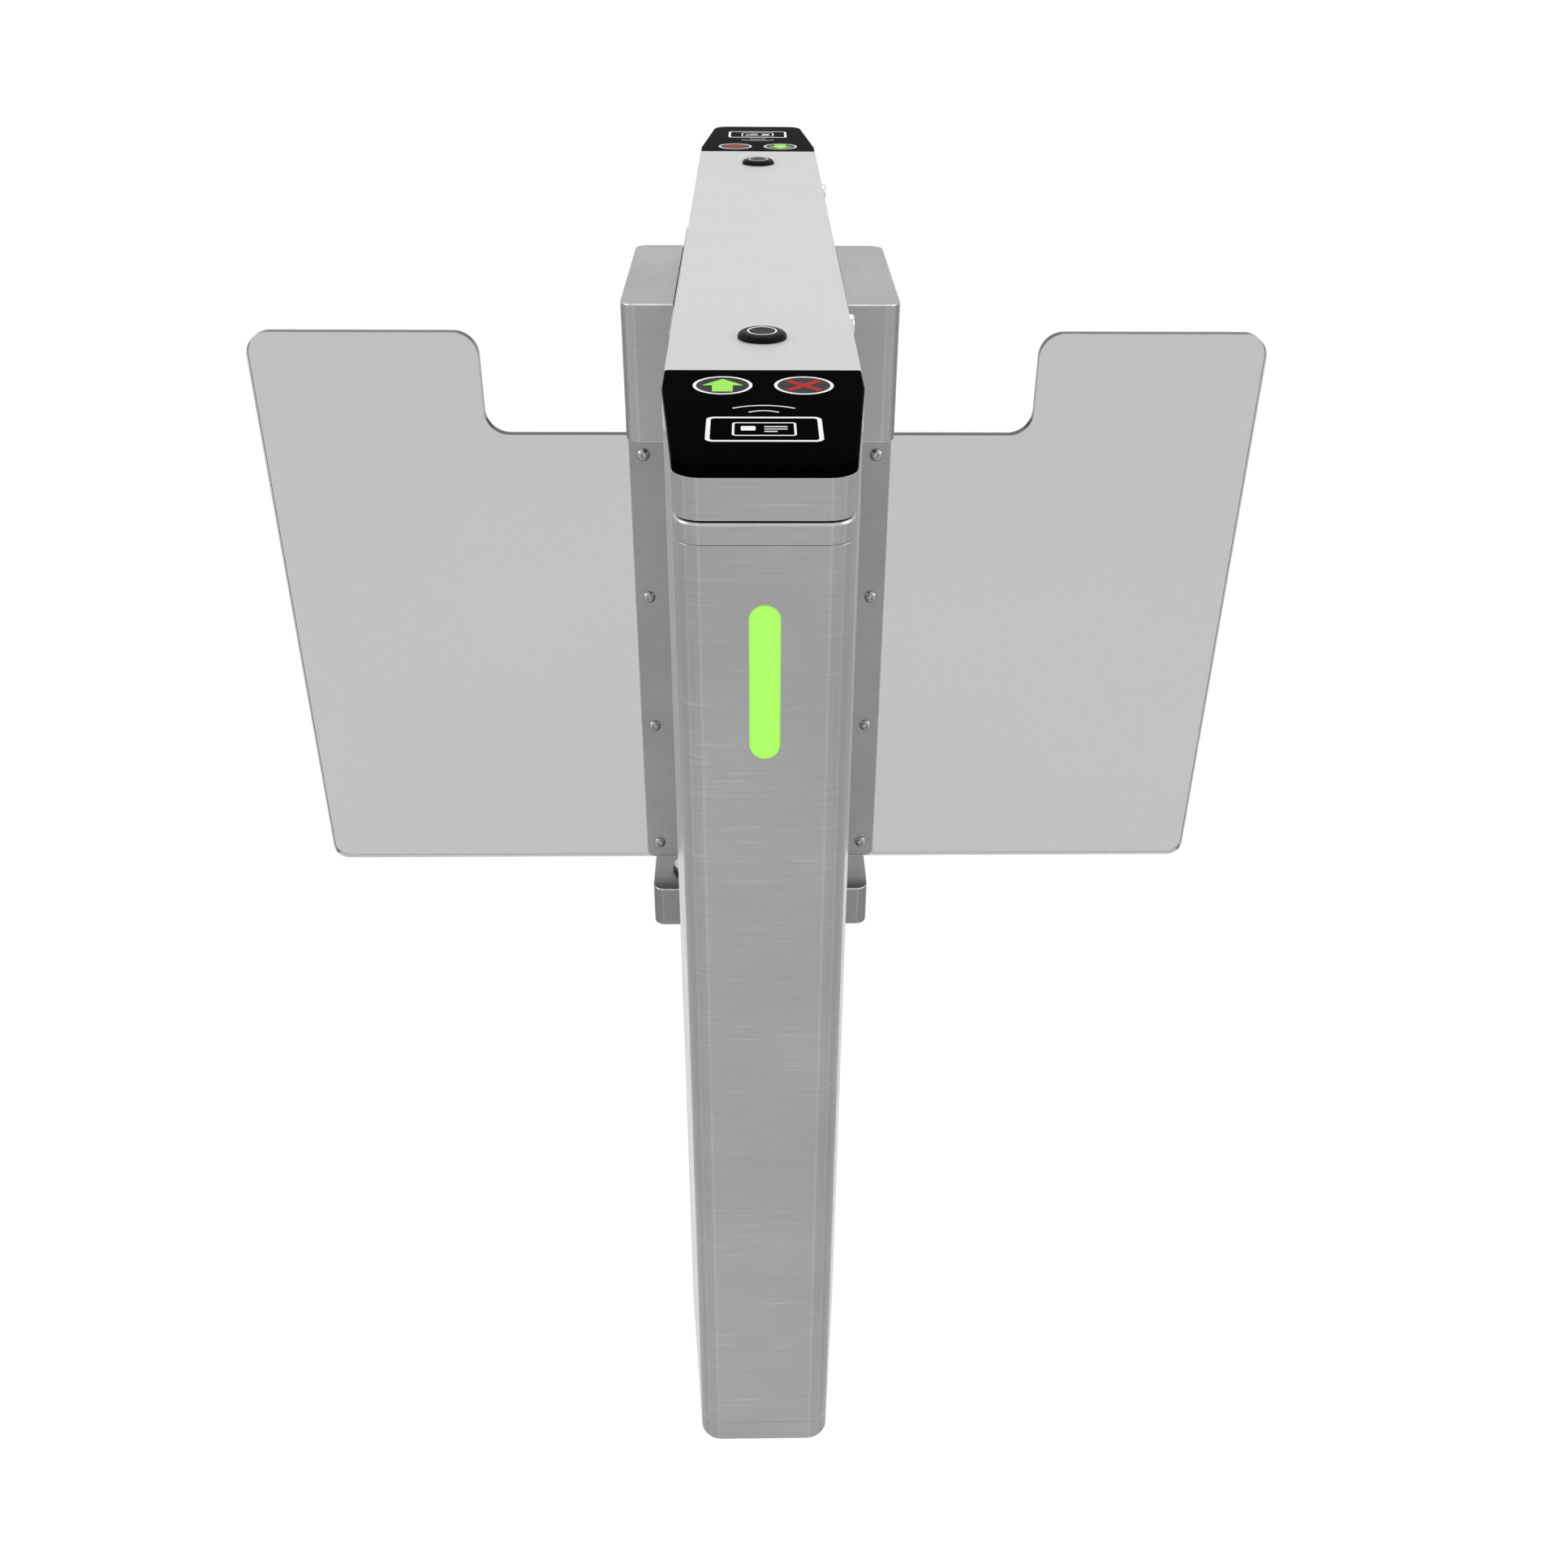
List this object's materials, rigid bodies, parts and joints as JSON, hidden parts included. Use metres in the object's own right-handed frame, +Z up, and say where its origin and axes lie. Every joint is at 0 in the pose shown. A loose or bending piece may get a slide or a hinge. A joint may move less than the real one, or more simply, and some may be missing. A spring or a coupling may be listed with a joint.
{
  "type": "swing speed gate",
  "caption": "Slim steel access-control gate: a long cabinet with a hinged lid and end panels, and a notched glass wing on each side that swings on a vertical shaft.",
  "frame": {"origin": "on the floor, in the middle of the cabinet's length and width", "axes": "+Y along the cabinet away from the viewer of the picture, +X to its right along the closed wings, +Z up"},
  "size_m": [1.098, 1.4008, 1.0059],
  "materials": {
    "brushed_steel": "satin stainless sheet with fine level brushing lines",
    "satin_steel": "pale satin stainless top plate",
    "clamp_steel": "darker satin stainless clamp plates",
    "frame_steel": "grey powder-coated inner steel",
    "polished_steel": "ground shaft steel",
    "chrome": "bright chrome",
    "gear_brass": "machined brass",
    "zinc_sheet": "zinc-plated sheet",
    "motor_metal": "black painted motor casing",
    "black_gloss": "polished black acrylic",
    "black_plastic": "fine-grained black plastic",
    "button_plastic": "satin dark grey plastic",
    "black_rubber": "black rubber",
    "opal_plastic": "opal light guide",
    "green_light": "lit green diffuser",
    "circuit_board": "green circuit board",
    "grey_glass": "grey translucent safety glass"
  },
  "bodies": {
    "cabinet": {"base_frame": "brushed_steel", "side_panel_left": "brushed_steel", "side_panel_right": "brushed_steel", "end_column_front": "brushed_steel", "end_column_rear": "brushed_steel", "rim_frame": "brushed_steel", "lock_strikes": "zinc_sheet", "inner_frame": "frame_steel", "mechanism_plate": "frame_steel", "side_plate_left": "brushed_steel", "side_plate_right": "brushed_steel", "arm_housing_left": "brushed_steel", "arm_housing_right": "brushed_steel", "lower_bracket_left": "brushed_steel", "lower_bracket_right": "brushed_steel", "lower_bushes": "black_plastic", "upper_bearings": "polished_steel", "shaft_seals": "black_rubber", "gear_motor_left": "motor_metal", "gear_motor_right": "motor_metal", "encoders": "black_plastic", "light_lens_front": "green_light", "light_lens_rear": "green_light", "light_boards": "circuit_board", "sensor_windows": "black_gloss", "control_board": "circuit_board", "power_supply": "zinc_sheet", "lid_seal": "black_rubber", "hinge_frame_leaves": "frame_steel", "hinge_pins": "polished_steel"},
    "lid": {"lid_tray": "brushed_steel", "lid_top": "satin_steel", "panel_front": "black_gloss", "panel_rear": "black_gloss", "card_readers": "black_plastic", "indicator_boards": "circuit_board", "light_guides": "opal_plastic", "hinge_lid_leaves": "frame_steel", "lock_bodies": "chrome", "button_bezels": "black_plastic"},
    "front_lock": {"lock_cam_front": "zinc_sheet"},
    "rear_lock": {"lock_cam_rear": "zinc_sheet"},
    "front_button": {"request_button_front": "button_plastic"},
    "rear_button": {"request_button_rear": "button_plastic"},
    "left_wing": {"wing_glass_left": "grey_glass", "clamp_plates_left": "clamp_steel", "clamp_gaskets_left": "black_rubber", "clamp_screws_left": "chrome", "wing_spindle_left": "polished_steel", "wheel_gear_left": "gear_brass"},
    "right_wing": {"wing_glass_right": "grey_glass", "clamp_plates_right": "clamp_steel", "clamp_gaskets_right": "black_rubber", "clamp_screws_right": "chrome", "wing_spindle_right": "polished_steel", "wheel_gear_right": "gear_brass"},
    "left_pinion": {"motor_pinion_left": "polished_steel"},
    "right_pinion": {"motor_pinion_right": "polished_steel"},
    "left_encoder_gear": {"encoder_pinion_left": "gear_brass"},
    "right_encoder_gear": {"encoder_pinion_right": "gear_brass"}
  },
  "joints": [
    {"name": "lid_hinge", "type": "hinge", "parent": "cabinet", "child": "lid", "pos_m": [-0.0787, 0, 0.96], "axis": [0, -1, 0], "range_deg": [0, 90]},
    {"name": "front_lock_turn", "type": "hinge", "parent": "lid", "child": "front_lock", "pos_m": [0.06, -0.3, 0.984], "axis": [-1, 0, 0], "range_deg": [0, 90]},
    {"name": "rear_lock_turn", "type": "hinge", "parent": "lid", "child": "rear_lock", "pos_m": [0.06, 0.3, 0.984], "axis": [-1, 0, 0], "range_deg": [0, 90]},
    {"name": "front_button_press", "type": "slide", "parent": "lid", "child": "front_button", "axis": [0, 0, -1], "range_m": [0, 0.002], "stiffness_N_per_m": 800, "springref_m": -0.001},
    {"name": "rear_button_press", "type": "slide", "parent": "lid", "child": "rear_button", "axis": [0, 0, -1], "range_m": [0, 0.002], "stiffness_N_per_m": 800, "springref_m": -0.001},
    {"name": "left_wing_swing", "type": "hinge", "parent": "cabinet", "child": "left_wing", "pos_m": [-0.096, 0, 0.5], "axis": [0, 0, 1], "range_deg": [-90, 90]},
    {"name": "right_wing_swing", "type": "hinge", "parent": "cabinet", "child": "right_wing", "pos_m": [0.096, 0, 0.5], "axis": [0, 0, 1], "range_deg": [-90, 90]},
    {"name": "left_motor_spin", "type": "hinge", "parent": "cabinet", "child": "left_pinion", "pos_m": [-0.096, -0.054, 0.92], "axis": [0, 0, 1], "range_deg": [-180, 180]},
    {"name": "right_motor_spin", "type": "hinge", "parent": "cabinet", "child": "right_pinion", "pos_m": [0.096, 0.054, 0.92], "axis": [0, 0, 1], "range_deg": [-180, 180]},
    {"name": "left_encoder_spin", "type": "hinge", "parent": "cabinet", "child": "left_encoder_gear", "pos_m": [-0.096, 0.048, 0.92], "axis": [0, 0, 1], "range_deg": [-270, 270]},
    {"name": "right_encoder_spin", "type": "hinge", "parent": "cabinet", "child": "right_encoder_gear", "pos_m": [0.096, -0.048, 0.92], "axis": [0, 0, 1], "range_deg": [-270, 270]}
  ],
  "couplings": [
    {"joint": "left_motor_spin", "follows": "left_wing_swing", "ratio": -2},
    {"joint": "right_motor_spin", "follows": "right_wing_swing", "ratio": -2},
    {"joint": "left_encoder_spin", "follows": "left_wing_swing", "ratio": -3},
    {"joint": "right_encoder_spin", "follows": "right_wing_swing", "ratio": -3}
  ]
}
